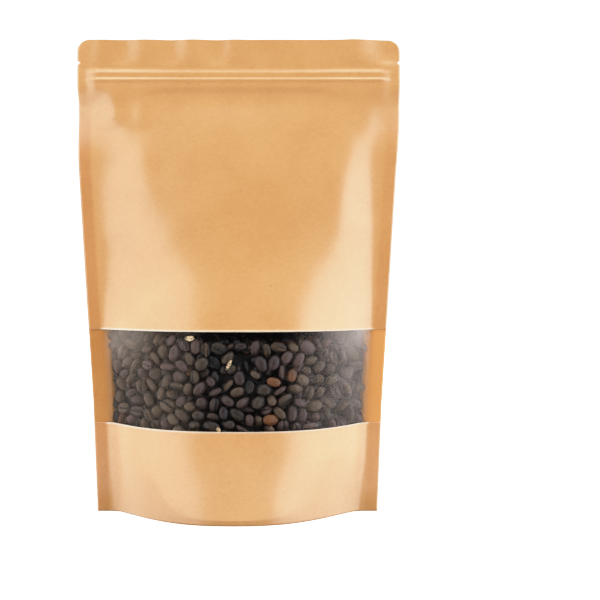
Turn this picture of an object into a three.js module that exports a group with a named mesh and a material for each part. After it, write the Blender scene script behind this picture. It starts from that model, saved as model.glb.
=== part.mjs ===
// A stand-up kraft pouch of coffee beans, with a clear strip across its front.
//
// Millimetres, +Z up. The origin is on the floor under the middle of the bag, the front looks along -Y.
// Front and back lie together above FLAT_ABOVE and at both side seals. Below it each panel swells
// outwards in an arch, which eases into the side seals, more softly where the bag is empty. At the
// foot the seals of the folded gusset pinch the arch, so that the rim is a lens.

import * as THREE from 'three';

// Whole bag
const BAG_WIDTH = 200;
const BAG_HEIGHT = 292;
const WALL = 0.4; // the real laminate is 0.15, thickened here into a sound solid
const GAP = 0.3; // room between pieces that lie on each other
const SIDE_SEAL = 7.5;
const CORNER_RADIUS = 7.5;
const NOTCH = { height: 277.6, depth: 1.6, rise: 1.4 };

// Swelling of the panels
const FLAT_ABOVE = 260;
const TOP_EASE = 12; // height over which a panel turns out of the flat
const EMPTY = { depth: 6, rate: 0.104, opening: 22 }; // opens fast under the zip, then slowly
const FILLED = { depth: 29, rate: 0.335, ease: 1.2 }; // at the window's top, growing downwards
const HALF_DEPTH = 36; // middle of the bag to a panel, near the floor
const DEPTH_EASE = 2.5; // depth over which it stops coming forward
const ARCH_POWER = 2.35; // 2 is a parabola, more is flatter in the middle
const SEAL_EASE = 8; // width over which the arch leaves the side seals
const LOOSE_EASE = { left: 18, right: 10.5, from: 105, over: 35 }; // the same, where the bag is empty
const RIM = { height: 40, setBack: 2, pinch: 0.35 }; // set back and pinched below this height

// Side edges: how fast they come in from LEAN_FROM down, and below the foot's height, and how far
// the bag stands to the left of its header
const LEAN_FROM = 250;
const LEAN_EASE = 25;
const SIDE_LEAN = 0.062;
const FOOT_LEAN = 0.042;
const FOOT_HEIGHT = 70;
const FOOT_EASE = 10;
const SWAY = { width: 0.7, from: 245, over: 40 };

// Zip: the band it presses into the paper, and the closed strip itself with its two rails
const ZIP = { foot: 262.5, top: 273.2, swell: 0.9, footEase: 3, topEase: 1.4, endEase: 7 };
const STRIP = { thickness: 1, rail: 0.35, railWidth: 2, railInset: 2.2, room: 0.3 };

const WINDOW = { foot: 55.2, top: 112.4 };

// Gusset: seal is its height over the floor in the middle, fold at the side seals
const GUSSET = { seal: 10, fold: 50, sealPower: 3, foldPower: 1.35, flatHalf: 18, endGap: 3.6 };
const BELLY = { flatShare: 0.5, easeFrom: 12, easeOver: 50, middlePower: 2, endPower: 1.2 };

// Heap of beans: its level in the middle of the front, how it rises to the sides and to the back,
// and the beans that stand out
const HEAP = { level: 105, bump: 1.2, waveX: 5.3, waveY: 4.1, skew: 9, clearance: 1.2, endGap: 9 };
const HEAP_LEFT = { rise: 7, from: 15, over: 45 };
const HEAP_RIGHT = { rise: 4, from: 35, over: 35 };
const HEAP_BACK = { rise: 12, from: -15, over: 35 };

// Grid steps
const PANEL_STEPS = 16;
const SWOLLEN_STEPS = 8;
const WINDOW_STEPS = 4;
const LOWER_STEPS = 7;
const CORNER_STEPS = 3;
const BELLY_STEPS = 24;
const BELLY_ROWS = 12;
const HEAP_WALL_STEPS = 6;

const FRONT = -1;
const BACK = 1;

const KRAFT = { color: 0xe2ab6c, roughness: 0.55, metalness: 0 };
const FILM = { color: 0xd8dcde, roughness: 0.15, metalness: 0, transparent: true, opacity: 0.3 };
const BEANS = { color: 0x3a2418, roughness: 0.5, metalness: 0 };
const ZIP_PLASTIC = { color: 0xe8e4da, roughness: 0.4, metalness: 0 };

// ---- Small functions ----

const clamp = (value, low, high) => Math.min(high, Math.max(low, value));
const mix = (a, b, share) => a + (b - a) * share;
const smoothStep = (value) => {
  const t = clamp(value, 0, 1);
  return t * t * (3 - 2 * t);
};
const softMin = (a, b, width) => -width * Math.log(Math.exp(-a / width) + Math.exp(-b / width));
const steps = (count) => Array.from({ length: count + 1 }, (_, k) => k / count);
const between = (low, high, count) => steps(count).map((share) => mix(low, high, share));

// 0 below zero, then a parabola over the ease, then a straight line of slope 1.
function smoothRamp(distance, ease) {
  if (distance <= 0) return 0;
  return distance < ease ? (distance * distance) / (2 * ease) : distance - ease / 2;
}

// ---- Shape of the bag ----

// Half the width across both side seals, without the rounded corners and notches.
function halfWidth(z) {
  const narrowed = SIDE_LEAN * smoothRamp(LEAN_FROM - z, LEAN_EASE);
  const belowFoot = smoothRamp(FOOT_HEIGHT - z, FOOT_EASE);
  return BAG_WIDTH / 2 - narrowed + (SIDE_LEAN - FOOT_LEAN) * belowFoot;
}

// Half the width as cut: rounded at the top corners, with a tear notch in each side.
function cutHalfWidth(z) {
  const up = Math.max(0, z - (BAG_HEIGHT - CORNER_RADIUS));
  const corner = CORNER_RADIUS - Math.sqrt(Math.max(0, CORNER_RADIUS ** 2 - up ** 2));
  const notch = NOTCH.depth * Math.max(0, 1 - Math.abs(z - NOTCH.height) / NOTCH.rise);
  return halfWidth(z) - corner - notch;
}

const sway = (z) => SWAY.width * smoothStep((SWAY.from - z) / SWAY.over);
const sealLine = (z) => halfWidth(z) - SIDE_SEAL;
const aboveRim = (z) => smoothStep(z / RIM.height);

// How far the middle of a panel stands out: the larger of the empty and the filled bag's depth,
// held within HALF_DEPTH and set back at the rim.
function middleDepth(z) {
  const below = smoothRamp(FLAT_ABOVE - z, TOP_EASE);
  const empty = (EMPTY.depth + EMPTY.rate * below) * (1 - Math.exp(-below / EMPTY.opening));
  const filled = FILLED.depth - FILLED.rate * (z - WINDOW.top);
  const full = softMin(-softMin(-empty, -filled, FILLED.ease), HALF_DEPTH, DEPTH_EASE);
  return Math.max(0, full) - RIM.setBack * (1 - aboveRim(z));
}

// How far a panel stands out from the plane of the side seals: an arch over the bag's width.
function swell(x, z) {
  const loose = x < 0 ? LOOSE_EASE.left : LOOSE_EASE.right;
  const ease = mix(SEAL_EASE, loose, smoothStep((z - LOOSE_EASE.from) / LOOSE_EASE.over));
  const u = 1 - smoothRamp(sealLine(z) - Math.abs(x), ease) / (sealLine(z) - ease / 2);
  const arch = Math.max(0, 1 - u ** ARCH_POWER);
  return middleDepth(z) * arch ** (1 + RIM.pinch * (1 - aboveRim(z)));
}

// The low band that the closed zip presses into the paper.
function zipSwell(x, z) {
  const ends = smoothStep((sealLine(z) - Math.abs(x)) / ZIP.endEase);
  const foot = smoothStep((z - ZIP.foot + ZIP.footEase) / ZIP.footEase);
  const top = smoothStep((ZIP.top - z + ZIP.topEase) / ZIP.topEase);
  return ZIP.swell * ends * foot * top;
}

// Middle of the front panel's wall. The back panel mirrors it.
const panelDepth = (x, z) => (GAP + WALL) / 2 + swell(x, z) + zipSwell(x, z);

// Places across a panel at one height: both cut edges, and between the seal lines closer together
// towards the seals.
function acrossPanel(z) {
  const inside = between(-1, 1, PANEL_STEPS).map((share) => sealLine(z) * Math.sin((share * Math.PI) / 2));
  return [-cutHalfWidth(z), ...inside, cutHalfWidth(z)];
}

// Heights of the grid rows from a given one up: the swollen part, zip, notch and rounded corners.
function upperRows(foot) {
  const swollen = between(foot, FLAT_ABOVE, SWOLLEN_STEPS);
  const zip = [ZIP.foot - ZIP.footEase, ZIP.foot, (ZIP.foot + ZIP.top) / 2, ZIP.top];
  const notch = between(NOTCH.height - NOTCH.rise, NOTCH.height + NOTCH.rise, 2);
  const cornerFoot = BAG_HEIGHT - CORNER_RADIUS;
  const corner = steps(CORNER_STEPS).map((share) => {
    return cornerFoot + CORNER_RADIUS * Math.sin((share * Math.PI) / 2);
  });
  return [...swollen, ...zip, ...notch, ...corner];
}

// ---- Gusset ----

// Where the gusset is sealed to the panels: low in the middle, up to the fold at the side seals.
function gussetSealHeight(x) {
  const share = clamp(Math.abs(x) / sealLine(GUSSET.fold), 0, 1);
  return mix(GUSSET.seal, GUSSET.fold, share ** GUSSET.sealPower);
}

// Height of the fold: on the floor in the middle, up to the fold's full height at the side seals.
function gussetFoldHeight(x) {
  const reach = sealLine(GUSSET.fold) - GUSSET.flatHalf;
  const share = clamp((Math.abs(x) - GUSSET.flatHalf) / reach, 0, 1);
  return GUSSET.fold * share ** GUSSET.foldPower;
}

// Underside of the gusset. side is 0 at the fold and 1 at the panel. The belly lies flat on the
// floor in the middle of the bag and becomes a tent over the fold towards both ends.
function gussetHeight(x, side) {
  const outward = smoothStep((Math.abs(x) - BELLY.easeFrom) / BELLY.easeOver);
  const flat = mix(BELLY.flatShare, 0, outward);
  const power = mix(BELLY.middlePower, BELLY.endPower, outward);
  const rise = clamp((side - flat) / (1 - flat), 0, 1) ** power;
  return mix(gussetFoldHeight(x), gussetSealHeight(x), rise);
}

// ---- Filling ----

// Top of the beans: lowest in the middle of the front, with single beans standing out.
function heapTop(x, y) {
  const left = HEAP_LEFT.rise * smoothStep((-x - HEAP_LEFT.from) / HEAP_LEFT.over);
  const right = HEAP_RIGHT.rise * smoothStep((x - HEAP_RIGHT.from) / HEAP_RIGHT.over);
  const back = HEAP_BACK.rise * smoothStep((y - HEAP_BACK.from) / HEAP_BACK.over);
  const bumps = HEAP.bump * (Math.sin(x / HEAP.waveX) + Math.cos(y / HEAP.waveY + x / HEAP.skew));
  return HEAP.level + left + right + back + bumps;
}

// ---- Solids ----

// A closed mesh from points, which are swayed with the bag, and triangles, turned inside out if its
// faces point inwards.
function closedGeometry(straight, triangles) {
  const points = straight.map(([x, y, z]) => [x - sway(z), y, z]);
  const [a, b, c] = [new THREE.Vector3(), new THREE.Vector3(), new THREE.Vector3()];
  let volume = 0;
  for (const [i, j, k] of triangles) {
    b.fromArray(points[j]);
    c.fromArray(points[k]);
    volume += a.fromArray(points[i]).dot(b.cross(c));
  }
  const outward = volume > 0 ? triangles : triangles.map(([i, j, k]) => [i, k, j]);
  const geometry = new THREE.BufferGeometry();
  geometry.setAttribute('position', new THREE.Float32BufferAttribute(points.flat(), 3));
  geometry.setIndex(outward.flat());
  geometry.computeVertexNormals();
  return geometry;
}

// Indices once round the rim of a grid.
function rimOf(rows, columns) {
  const rim = [];
  for (let c = 0; c < columns - 1; c += 1) rim.push(c);
  for (let r = 0; r < rows - 1; r += 1) rim.push(r * columns + columns - 1);
  for (let c = columns - 1; c > 0; c -= 1) rim.push((rows - 1) * columns + c);
  for (let r = rows - 1; r > 0; r -= 1) rim.push(r * columns);
  return rim;
}

// Grids of one size, one behind the other: the first and the last are whole faces, and those
// between give only their rims, as the rings of the wall.
function stackedGrids(grids) {
  const rows = grids[0].length;
  const columns = grids[0][0].length;
  const size = rows * columns;
  const points = [grids[0], grids.at(-1)].flat(2);
  const triangles = [];
  const quad = (i, j, k, l) => triangles.push([i, j, k], [i, k, l]);
  const joinRings = (ring, next) => ring.forEach((i, k) => {
    const after = (k + 1) % ring.length;
    quad(i, next[k], next[after], ring[after]);
  });
  for (let r = 0; r + 1 < rows; r += 1) {
    for (let c = 0; c + 1 < columns; c += 1) {
      const i = r * columns + c;
      quad(i, i + 1, i + 1 + columns, i + columns);
      quad(size + i, size + i + columns, size + i + 1 + columns, size + i + 1);
    }
  }
  const rim = rimOf(rows, columns);
  let ring = rim;
  for (const grid of grids.slice(1, -1)) {
    const next = rim.map((i) => points.push(grid.flat()[i]) - 1);
    joinRings(ring, next);
    ring = next;
  }
  joinRings(ring, rim.map((i) => size + i));
  return closedGeometry(points, triangles);
}

// A panel's wall through the given heights, on the front or the back.
function panelGeometry(heights, facing) {
  const face = (offset) => heights.map((z) => {
    return acrossPanel(z).map((x) => [x, facing * (panelDepth(x, z) + offset), z]);
  });
  return stackedGrids([face(-WALL / 2), face(WALL / 2)]);
}

// The gusset between its seals: across the bag in columns, from panel to panel in rows.
function gussetGeometry() {
  const end = sealLine(GUSSET.fold) - GUSSET.endGap;
  const face = (lift) => between(-1, 1, BELLY_ROWS).map((side) => {
    return between(-end, end, BELLY_STEPS).map((x) => {
      const depth = swell(x, gussetSealHeight(x)) - GAP;
      return [x, side * depth, gussetHeight(x, Math.abs(side)) + lift];
    });
  });
  return stackedGrids([face(0), face(WALL)]);
}

// The beans as one body: over the gusset, inside both panels, up to the uneven top.
function heapGeometry() {
  const lowEnd = sealLine(GUSSET.fold) - HEAP.endGap;
  const highEnd = sealLine(HEAP.level) - HEAP.endGap;
  const point = (across, side, share) => {
    const low = gussetHeight(across * lowEnd, Math.abs(side)) + WALL + HEAP.clearance;
    const high = heapTop(across * highEnd, side * swell(across * highEnd, HEAP.level));
    const x = across * mix(lowEnd, highEnd, share);
    const z = mix(low, high, share);
    return [x, side * (swell(x, z) - HEAP.clearance), z];
  };
  const level = (share) => between(-1, 1, BELLY_ROWS).map((side) => {
    return between(-1, 1, BELLY_STEPS).map((across) => point(across, side, share));
  });
  return stackedGrids(steps(HEAP_WALL_STEPS).map(level));
}

// Both tracks of the press zip, closed: a flat strip with two rails on each face.
function zipGeometry() {
  const half = STRIP.thickness / 2;
  const crest = half + STRIP.rail;
  const [foot, top] = [ZIP.foot + STRIP.room, ZIP.top - STRIP.room];
  const face = [[half, foot]];
  for (const middle of [foot + STRIP.railInset, top - STRIP.railInset]) {
    const [base, flat] = [STRIP.railWidth / 2, STRIP.railWidth / 4];
    face.push([half, middle - base], [crest, middle - flat], [crest, middle + flat], [half, middle + base]);
  }
  face.push([half, top]);
  const otherFace = face.map(([y, z]) => [-y, z]).reverse();
  const section = new THREE.Shape([...face, ...otherFace].map(([y, z]) => new THREE.Vector2(y, z)));
  const length = 2 * (sealLine(ZIP.foot) - ZIP.endEase - STRIP.room);
  const geometry = new THREE.ExtrudeGeometry(section, { depth: length, bevelEnabled: false });
  geometry.translate(0, 0, -length / 2);
  geometry.rotateX(Math.PI / 2);
  geometry.rotateZ(Math.PI / 2);
  return geometry;
}

// ---- The bag ----

const bag = new THREE.Group();

function add(name, geometry, finish) {
  const mesh = new THREE.Mesh(geometry, new THREE.MeshStandardMaterial(finish));
  mesh.name = name;
  bag.add(mesh);
}

const lowerRows = between(0, WINDOW.foot - GAP / 2, LOWER_STEPS);
const windowRows = between(WINDOW.foot + GAP / 2, WINDOW.top - GAP / 2, WINDOW_STEPS);
const backFootRows = between(0, WINDOW.top, LOWER_STEPS + WINDOW_STEPS).slice(0, -1);

add('front_paper_upper', panelGeometry(upperRows(WINDOW.top + GAP / 2), FRONT), KRAFT);
add('window_film', panelGeometry(windowRows, FRONT), FILM);
add('front_paper_lower', panelGeometry(lowerRows, FRONT), KRAFT);
add('back_paper', panelGeometry([...backFootRows, ...upperRows(WINDOW.top)], BACK), KRAFT);
add('bottom_gusset', gussetGeometry(), KRAFT);
add('press_zip', zipGeometry(), ZIP_PLASTIC);
add('coffee_beans', heapGeometry(), BEANS);

export default bag;
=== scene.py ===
"""Looks of a stand-up kraft coffee pouch with a clear strip: paper panels, film, beans and studio.

Shapes are worked out in millimetres, +Z up, with the front of the bag towards -Y, and turned into
metres when their mesh is made. A panel is a surface over (x, z): x runs across the bag, z is height.
"""

import bpy
import numpy as np
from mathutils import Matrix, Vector


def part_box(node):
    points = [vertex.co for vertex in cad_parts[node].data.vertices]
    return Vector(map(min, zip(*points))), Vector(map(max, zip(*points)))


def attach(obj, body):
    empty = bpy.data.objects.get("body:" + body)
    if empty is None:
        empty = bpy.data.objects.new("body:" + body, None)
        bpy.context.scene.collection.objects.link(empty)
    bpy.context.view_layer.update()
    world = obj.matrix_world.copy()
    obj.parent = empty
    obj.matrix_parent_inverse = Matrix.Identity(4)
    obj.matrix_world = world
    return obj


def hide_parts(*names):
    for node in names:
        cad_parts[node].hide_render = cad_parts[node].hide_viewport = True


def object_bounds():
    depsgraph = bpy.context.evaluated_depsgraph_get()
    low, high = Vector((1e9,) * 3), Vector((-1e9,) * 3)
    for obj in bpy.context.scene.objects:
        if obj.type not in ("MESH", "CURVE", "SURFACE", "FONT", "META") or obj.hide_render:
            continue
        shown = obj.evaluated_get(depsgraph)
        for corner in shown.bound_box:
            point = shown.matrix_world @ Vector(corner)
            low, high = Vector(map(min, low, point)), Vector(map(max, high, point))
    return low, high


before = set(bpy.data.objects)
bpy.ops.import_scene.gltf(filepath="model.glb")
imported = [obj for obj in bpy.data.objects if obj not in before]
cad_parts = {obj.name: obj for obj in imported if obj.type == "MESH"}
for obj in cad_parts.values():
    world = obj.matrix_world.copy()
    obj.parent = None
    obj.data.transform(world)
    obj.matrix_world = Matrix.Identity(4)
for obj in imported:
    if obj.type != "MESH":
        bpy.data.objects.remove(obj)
cad_low, cad_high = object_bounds()

MM = 0.001

# ---- Sizes of the bag, in millimetres ----

BAG_WIDTH = (cad_high.x - cad_low.x) / MM
BAG_HEIGHT = cad_high.z / MM
WINDOW_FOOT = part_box("front_paper_lower")[1].z / MM
WINDOW_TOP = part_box("front_paper_upper")[0].z / MM

SIDE_SEAL = 7.5
CORNER_RADIUS = 7.5
NOTCH_HEIGHT, NOTCH_DEPTH, NOTCH_RISE = 277.6, 1.6, 1.4

# Thickness of the sheets, and where each one's outer face is, outwards from the plane in which
# front and back lie together
PAPER, FILM, GUSSET_PAPER = 0.25, 0.08, 0.2
FRONT_FACE, FILM_FACE, BACK_FACE = 0.45, 0.12, 0.27

# Depth of the middle of a panel, as in the bag's solids: flat above, then the empty bag, then the
# filled bag, which keeps within half the bag's depth
FLAT_ABOVE, TOP_EASE = 260, 12
EMPTY_DEPTH, EMPTY_RATE, OPENING = 6, 0.104, 22
FILLED_DEPTH, FILLED_RATE, FILLED_EASE = 29, 0.335, 1.2
HALF_DEPTH, DEPTH_EASE = 36, 2.5

# Arch across a panel, as in the solids too, apart from FULL_ARCH, which makes the filled bag flatter
# in its middle. It leaves the side seals over an ease, which is longer where the bag is empty
ARCH_POWER, SEAL_EASE = 2.35, 8
FULL_ARCH, FULL_BELOW, FULL_OVER = 0.3, 165, 40
LOOSE_EASE_LEFT, LOOSE_EASE_RIGHT, LOOSE_FROM, LOOSE_OVER = 18, 10.5, 105, 35

# Rim round the foot: its height, how far it is set back, and how much it is pinched
RIM_HEIGHT, RIM_SET_BACK, RIM_PINCH = 40, 2, 0.35

# Outline: lean of the sides below the header and near the foot, and how far the bag stands to the
# left below its header
LEAN_FROM, LEAN_EASE, SIDE_LEAN = 250, 25, 0.062
FOOT_LEAN, FOOT_HEIGHT, FOOT_EASE = 0.042, 70, 10
SWAY, SWAY_FROM, SWAY_EASE = 0.7, 245, 40

# Crest of the front: how far it is right of the middle at the window and left of it at the
# shoulders, where it starts to cross over and within how much, and the height of the foot, over
# which it comes from the middle
CREST_RIGHT, CREST_LEFT = 3.5, 2
CREST_FROM, CREST_OVER, CREST_FOOT = 140, 90, 100

# Zip: the foot and the top of the band that it presses into the paper, how far the band and the
# slope above it stand out, how softly the band starts and ends, and the ridges over the two rails:
# height, distance below the top, and width
ZIP_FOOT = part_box("press_zip")[0].z / MM - 0.3
ZIP_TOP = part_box("press_zip")[1].z / MM + 0.3
BAND_HEIGHT, SLOPE_HEIGHT = 0.8, 0.3
BAND_FOOT_EASE, BAND_TOP_EASE = 5, 5.6
UPPER_RAIL, UPPER_RAIL_DROP, UPPER_RAIL_WIDTH = 0.12, 2, 0.9
LOWER_RAIL, LOWER_RAIL_DROP, LOWER_RAIL_WIDTH = 0.5, 6.4, 0.8

# Soft ridges of the front at its shoulders. Each runs down along a line, whose place across the
# bag is given at RIDGE_LEVEL, and its lean, which is how far to the right it goes on each
# millimetre down: height, width, place, lean, the level where it starts and over how much it rises,
# the level where it ends and over how much it falls
RIDGE_LEVEL = 232
RIDGES = ((1.6, 8.5, 67.5, -0.08, 155, 40, 247, 27),
          (0.7, 7, -62, 0.2, 180, 25, 236, 20),
          (1.8, 6, -78, 0, 234, 12, ZIP_FOOT + 4, 14),
          (0.9, 4.5, -60, 0, 234, 12, ZIP_FOOT + 4, 14))

# Upright waves of the header: height and rate on the left, where they gain height inwards, and on
# the right, and the height of the fine ones. Edges under the zip: how steeply the left and the
# right one bend back
LEFT_WAVE, LEFT_WAVE_GAIN, LEFT_WAVE_RATE = 0.65, 0.3, 0.217
RIGHT_WAVE, RIGHT_WAVE_RATE, FINE_WAVE = 1.4, 0.126, 0.15
BEND_LEFT, BEND_RIGHT = 0.135, 0.15

# Unevenness of the filled paper: height and length of its swells and of its dimples
SWELL_HEIGHT, SWELL_LENGTH, DIMPLE_HEIGHT, DIMPLE_LENGTH = 0.3, 75, 0.05, 24

# Gusset: seal is its height in the middle, fold its height at the side seals. Its sheet ends a
# little before the side seals, and its skirts a little above the floor, just inside the panels
GUSSET_SEAL, SEAL_POWER = 10, 3
GUSSET_FOLD, FOLD_POWER, FOLD_FLAT_HALF = 50, 1.35, 18
GUSSET_END, SKIRT_FOOT, SKIRT_SHARE, SKIRT_NARROWING = 3.6, 0.3, 0.97, 0.03
INSIDE_PANEL, LEAST_DEPTH = 0.3, 0.25

# Heap: level of its top in the middle of the front, how much higher it is at the left, at the
# right and at the back, and the height at which its width is taken. Its dark core: how far it is
# inside the side seals, off the gusset, below the top, and off the front and the back panel
HEAP_LEVEL, HEAP_LEFT, HEAP_RIGHT, HEAP_BACK = 105, 7, 4, 12
HEAP_MIDDLE = 80
CORE_SIDE, CORE_FOOT, CORE_TOP, CORE_FRONT, CORE_BACK = 6.5, 2, 6, 10, 3

# Beans: the mean one, the least gap to film and back panel, and the layers behind the film: how
# many beans, how deep they lie, and how light they are, which is painted shade that makes deeper
# layers darker. Then those on top of the heap, how light they are, also painted shade, and how far
# to either side they go
BEAN_LENGTH, BEAN_SLIMNESS, BEAN_FLATNESS = 9.2, 0.74, 0.68
BEAN_GAP = 0.3
LAYERS = ((165, 0, 0.3), (150, 4.2, -0.05), (150, 8.4, -0.25))
TOP_COUNT, TOP_LIGHT, TOP_REACH = 150, -0.2, 66

# How beans lie: share of those behind the film whose round back shows, spread of their roll and
# pitch in radians, and how much further in one may lie than its layer
BACK_OUT, ROLL, TOP_ROLL, PITCH, LOOSENESS = 0.62, 0.6, 0.5, 0.3, 2.2

# Packing of beans: radius of a bean's discs in half widths, how far each round pushes and turns it,
# and how small it may get and how far out of the bag it may be, so that it is kept
DISC_RADIUS, PUSH, TURN_ARM = 0.88, 0.18, 8
LEAST_SIZE, MOST_OUTSIDE = 0.5, 0.2

# Painted light and shade: how much lighter beans are towards the window's ends, and each on its side at
# the film
END_LIGHT, NEAR_LIGHT = 0.35, 0.45

# Kinds of beans: name of the skin, its darkest and its lightest colour, colour of the groove, near
# black as painted shade in the crease or pale where silverskin is left in it, and share of all beans
BEAN_KINDS = (("roasted_bean_umber", "#02070a", "#5a4836", "#020303", 0.42),
              ("roasted_bean_plum", "#04060a", "#55413a", "#020303", 0.43),
              ("roasted_bean_with_silverskin", "#050708", "#5a4a38", "#6e5238", 0.12),
              ("pale_bean", "#100907", "#80522f", "#0c0604", 0.03))

# Flakes of chaff: place across, height, length, width, and turn. How far they are behind the film,
# how much they are crumpled, and how thick they are
FLAKES = ((-26, 108.6, 5.2, 3, 0.1), (-2.6, 93.6, 6, 2, 1.1), (-8.5, 56, 3.4, 2.4, 2))
FLAKE_GAP, FLAKE_CRUMPLE, FLAKE_THICKNESS = 0.55, 0.2, 0.08

# Cut edges of the paper at the window: width that lifts off the film, and how far. Film: how far it
# goes on behind the paper, and its painted veil, a painted reflection of the lamps, at either end of
# the window, low down and added above
CURL, CURL_LIFT = 1.8, 0.45
FILM_OVERLAP = 4
PAINTED_VEIL_RIGHT, PAINTED_VEIL_RIGHT_ABOVE, PAINTED_VEIL_LEFT, PAINTED_VEIL_LEFT_ABOVE = 0.3, 0.65, 0.06, 0.44

# Rows of a panel: coarse ones up to SWOLLEN_TOP, then fine ones up to FINE_TOP
SWOLLEN_TOP, COARSE_ROW, FINE_ROW, FINE_TOP = 257, 1.4, 0.4, 276

# Camera: its place in metres, focal length and sensor in millimetres, how far the picture is
# shifted, and the light that it shows as white
CAMERA_PLACE = (0.038, -0.53, 0.14)
FOCAL_LENGTH, SENSOR, SHIFT, WHITE_POINT = 51.3, 36, -0.025, 1.6

# Studio, in metres: the point that the lamps look at, and the lamps a metre from it: azimuth from
# the front, elevation, width, height, radiance and colour. Glow of the sweep near the bag and far
MIDDLE = Vector((0, 0, 0.15))
WARM, COOL, NEUTRAL = (1, 0.95, 0.935), (0.925, 0.93, 1.03), (1, 1, 1)
LAMPS = (("left_softbox", -70.5, 19, 1.62, 1.15, 1.75, WARM),
         ("left_low_softbox", -70.5, -30, 1.62, 0.8, 1.08, WARM),
         ("right_softbox", 73, 19, 1.62, 1.15, 2.25, COOL),
         ("right_low_softbox", 73, -30, 1.62, 0.8, 1.4, COOL),
         ("overhead_softbox", 5, 70, 1.0, 0.7, 2.7, NEUTRAL))
NEAR_GLOW, FAR_GLOW = 1.25, 2.2

FRONT, BACK = -1, 1


# ---- Small functions ----

def smooth_step(value):
    """0 below 0, 1 above 1, and a smooth S between them."""
    t = np.clip(value, 0, 1)
    return t * t * (3 - 2 * t)


def rise(value, start, over):
    """A smooth step from 0 up to 1, which leaves 0 at the start and takes the length over."""
    return smooth_step((value - start) / over)


def fall(value, end, over):
    """A smooth step from 1 down to 0, which reaches 0 at the end and takes the length over."""
    return smooth_step((end - value) / over)


def smooth_ramp(distance, ease):
    """0 below zero, then a parabola over the ease, then a straight line of slope 1."""
    bent = distance**2 / (2 * ease)
    return np.where(distance <= 0, 0, np.where(distance < ease, bent, distance - ease / 2))


def soft_min(a, b, width):
    """The smaller of two values, rounded over a width where they cross."""
    return -width * np.log(np.exp(-a / width) + np.exp(-b / width))


def bell(distance, width):
    """1 in the middle and falling to 0 like a bell; the width is its standard deviation."""
    return np.exp(-0.5 * (distance / width) ** 2)


def waves(x, z, length, seed, count=7):
    """Soft random undulation of about unit size: a sum of plane waves of random direction."""
    rng = np.random.default_rng(seed)
    total = np.zeros(np.broadcast(x, z).shape)
    for _ in range(count):
        turn, phase = rng.uniform(0, 2 * np.pi, 2)
        rate = 2 * np.pi / (length * rng.uniform(0.75, 1.4))
        total = total + np.sin(rate * (x * np.cos(turn) + z * np.sin(turn)) + phase)
    return total / np.sqrt(count)


# ---- Shape of the bag ----

def half_width(z):
    """Half the width across both side seals, without the rounded corners and notches."""
    below_foot = smooth_ramp(FOOT_HEIGHT - z, FOOT_EASE)
    narrowed = SIDE_LEAN * smooth_ramp(LEAN_FROM - z, LEAN_EASE)
    return BAG_WIDTH / 2 - narrowed + (SIDE_LEAN - FOOT_LEAN) * below_foot


def cut_half_width(z):
    """Half the width as cut: a quarter circle at each top corner and a V notch in each side."""
    up = np.maximum(0, z - (BAG_HEIGHT - CORNER_RADIUS))
    corner = CORNER_RADIUS - np.sqrt(np.maximum(0, CORNER_RADIUS**2 - up**2))
    notch = NOTCH_DEPTH * np.maximum(0, 1 - np.abs(z - NOTCH_HEIGHT) / NOTCH_RISE)
    return half_width(z) - corner - notch


def sway(z):
    """How far the bag below the zip stands to the left of its header."""
    return SWAY * fall(z, SWAY_FROM, SWAY_EASE)


def seal_line(z):
    """Distance from the middle to the inner edge of a side seal."""
    return half_width(z) - SIDE_SEAL


def above_rim(z):
    """0 at the floor and 1 above the pinched foot."""
    return rise(z, 0, RIM_HEIGHT)


def middle_depth(z):
    """How far the middle of a panel stands out. The empty bag above the beans opens fast under the
    zip and then slowly, the filled bag grows steadily from there, the larger of both counts, and
    it stays within half the bag's depth. Towards the floor it is set back a little."""
    below = smooth_ramp(FLAT_ABOVE - z, TOP_EASE)
    empty = (EMPTY_DEPTH + EMPTY_RATE * below) * (1 - np.exp(-below / OPENING))
    filled = FILLED_DEPTH - FILLED_RATE * (z - WINDOW_TOP)
    full = soft_min(-soft_min(-empty, -filled, FILLED_EASE), HALF_DEPTH, DEPTH_EASE)
    return np.maximum(0, full) - RIM_SET_BACK * (1 - above_rim(z))


def swell(x, z):
    """How far a panel stands out: an arch over the width, flatter in the middle than a parabola
    and flattest where the bag is full, which eases into the side seals, more softly where the bag
    is empty. At the foot it is a lens."""
    loose = np.where(x < 0, LOOSE_EASE_LEFT, LOOSE_EASE_RIGHT)
    ease = SEAL_EASE + (loose - SEAL_EASE) * rise(z, LOOSE_FROM, LOOSE_OVER)
    u = 1 - smooth_ramp(seal_line(z) - np.abs(x), ease) / (seal_line(z) - ease / 2)
    power = ARCH_POWER + FULL_ARCH * fall(z, FULL_BELOW, FULL_OVER)
    arch = np.maximum(0, 1 - u**power)
    return middle_depth(z) * arch ** (1 + RIM_PINCH * (1 - above_rim(z)))


def off_centre(x, z):
    """The place across whose arch a point of the front takes: its crest lies a little right of the
    middle at the window, and a little left of it at the shoulders."""
    crest = CREST_RIGHT - (CREST_RIGHT + CREST_LEFT) * rise(z, CREST_FROM, CREST_OVER)
    return x - crest * rise(z, 0, CREST_FOOT) * (1 - (x / seal_line(z)) ** 2)


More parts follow.
